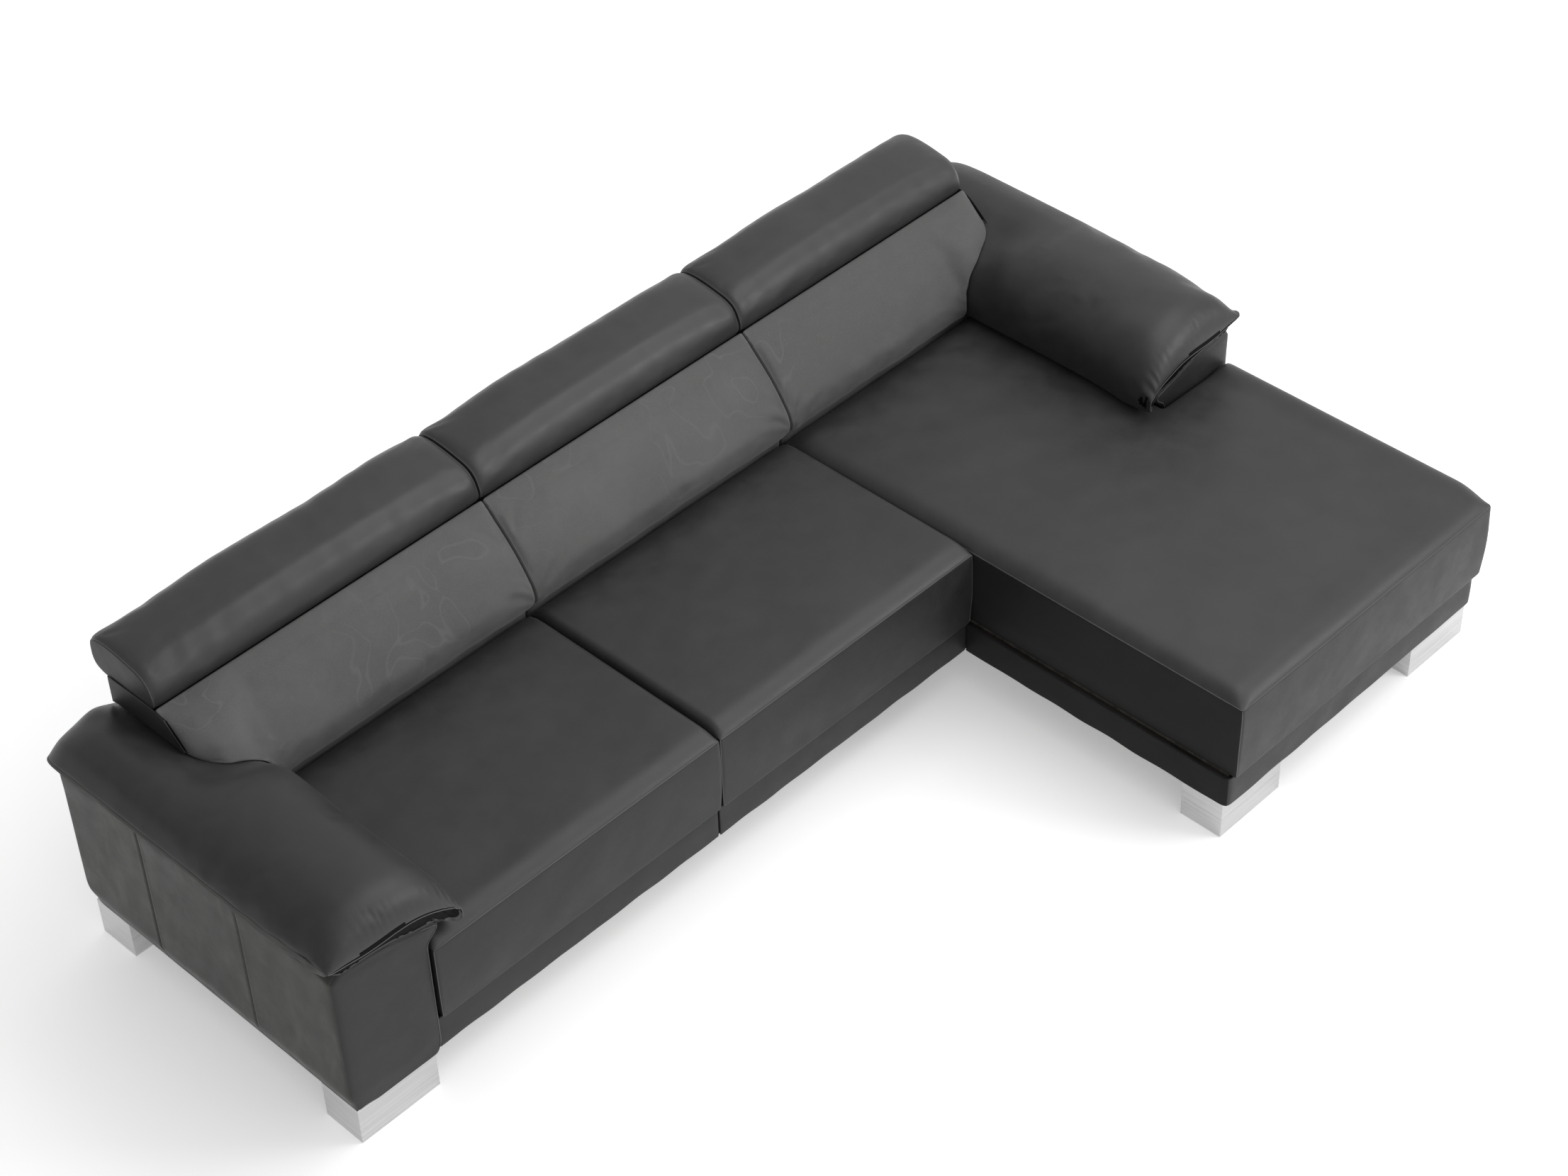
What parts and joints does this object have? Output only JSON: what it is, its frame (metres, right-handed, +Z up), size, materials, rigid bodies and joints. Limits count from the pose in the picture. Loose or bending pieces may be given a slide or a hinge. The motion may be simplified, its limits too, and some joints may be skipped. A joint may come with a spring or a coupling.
{
  "type": "corner sofa",
  "caption": "Leather corner sofa with a chaise, padded pillow arms, folding headrests and flat steel corner legs.",
  "frame": {"origin": "on the floor, under the middle of the sofa's outline seen from above", "axes": "+X along the back towards the chaise, +Y towards the rear, +Z up"},
  "size_m": [2.944, 1.75, 0.793],
  "materials": {
    "seat_leather": "satin corrected-grain leather, dark anthracite",
    "back_leather": "matt leather, lighter anthracite",
    "arm_leather": "satin corrected-grain leather, dark anthracite",
    "plinth_leather": "satin leather, dark anthracite",
    "timber": "plain sawn and planed",
    "webbing": "woven webbing",
    "leg_steel": "satin",
    "hinge_steel": "plain pressed steel",
    "foot_plastic": "matt"
  },
  "bodies": {
    "sofa": {"seat_left_cushion": "seat_leather", "seat_middle_cushion": "seat_leather", "seat_chaise_cushion": "seat_leather", "back_left_cushion": "back_leather", "back_middle_cushion": "back_leather", "back_chaise_cushion": "back_leather", "back_left_cover": "back_leather", "back_middle_cover": "back_leather", "back_chaise_cover": "back_leather", "back_left_frame": "timber", "back_middle_frame": "timber", "back_chaise_frame": "timber", "headrest_left_bracket_left": "hinge_steel", "headrest_left_bracket_right": "hinge_steel", "headrest_middle_bracket_left": "hinge_steel", "headrest_middle_bracket_right": "hinge_steel", "headrest_chaise_bracket_left": "hinge_steel", "headrest_chaise_bracket_right": "hinge_steel", "arm_left_cover": "arm_leather", "arm_right_cover": "arm_leather", "arm_left_pad": "arm_leather", "arm_right_pad": "arm_leather", "arm_left_frame": "timber", "arm_right_frame": "timber", "plinth_left_cover": "plinth_leather", "plinth_middle_cover": "plinth_leather", "plinth_chaise_cover": "plinth_leather", "base_left_front_rail": "timber", "base_left_rear_rail": "timber", "base_left_right_rail": "timber", "base_middle_front_rail": "timber", "base_middle_rear_rail": "timber", "base_middle_left_rail": "timber", "base_middle_right_rail": "timber", "base_chaise_front_rail": "timber", "base_chaise_rear_rail": "timber", "base_chaise_left_rail": "timber", "base_chaise_right_rail": "timber", "base_chaise_cross_rail": "timber", "seat_left_spring_deck": "webbing", "seat_middle_spring_deck": "webbing", "seat_chaise_spring_deck": "webbing", "leg_left_front": "leg_steel", "leg_left_rear": "leg_steel", "leg_chaise_left": "leg_steel", "leg_chaise_right": "leg_steel", "leg_right_rear": "leg_steel", "foot_left_joint_front": "foot_plastic", "foot_left_joint_rear": "foot_plastic", "foot_right_joint_front": "foot_plastic", "foot_right_joint_rear": "foot_plastic"},
    "headrest_left": {"headrest_left_pad": "seat_leather", "headrest_left_insert": "hinge_steel", "headrest_left_rod": "hinge_steel"},
    "headrest_middle": {"headrest_middle_pad": "seat_leather", "headrest_middle_insert": "hinge_steel", "headrest_middle_rod": "hinge_steel"},
    "headrest_chaise": {"headrest_chaise_pad": "seat_leather", "headrest_chaise_insert": "hinge_steel", "headrest_chaise_rod": "hinge_steel"}
  },
  "joints": [
    {"name": "headrest_left_tilt", "type": "hinge", "parent": "sofa", "child": "headrest_left", "pos_m": [-0.824, 0.742, 0.715], "axis": [1, 0, 0], "range_deg": [0, 60]},
    {"name": "headrest_middle_tilt", "type": "hinge", "parent": "sofa", "child": "headrest_middle", "pos_m": [0.067, 0.742, 0.715], "axis": [1, 0, 0], "range_deg": [0, 60]},
    {"name": "headrest_chaise_tilt", "type": "hinge", "parent": "sofa", "child": "headrest_chaise", "pos_m": [0.891, 0.742, 0.715], "axis": [1, 0, 0], "range_deg": [0, 60]}
  ]
}
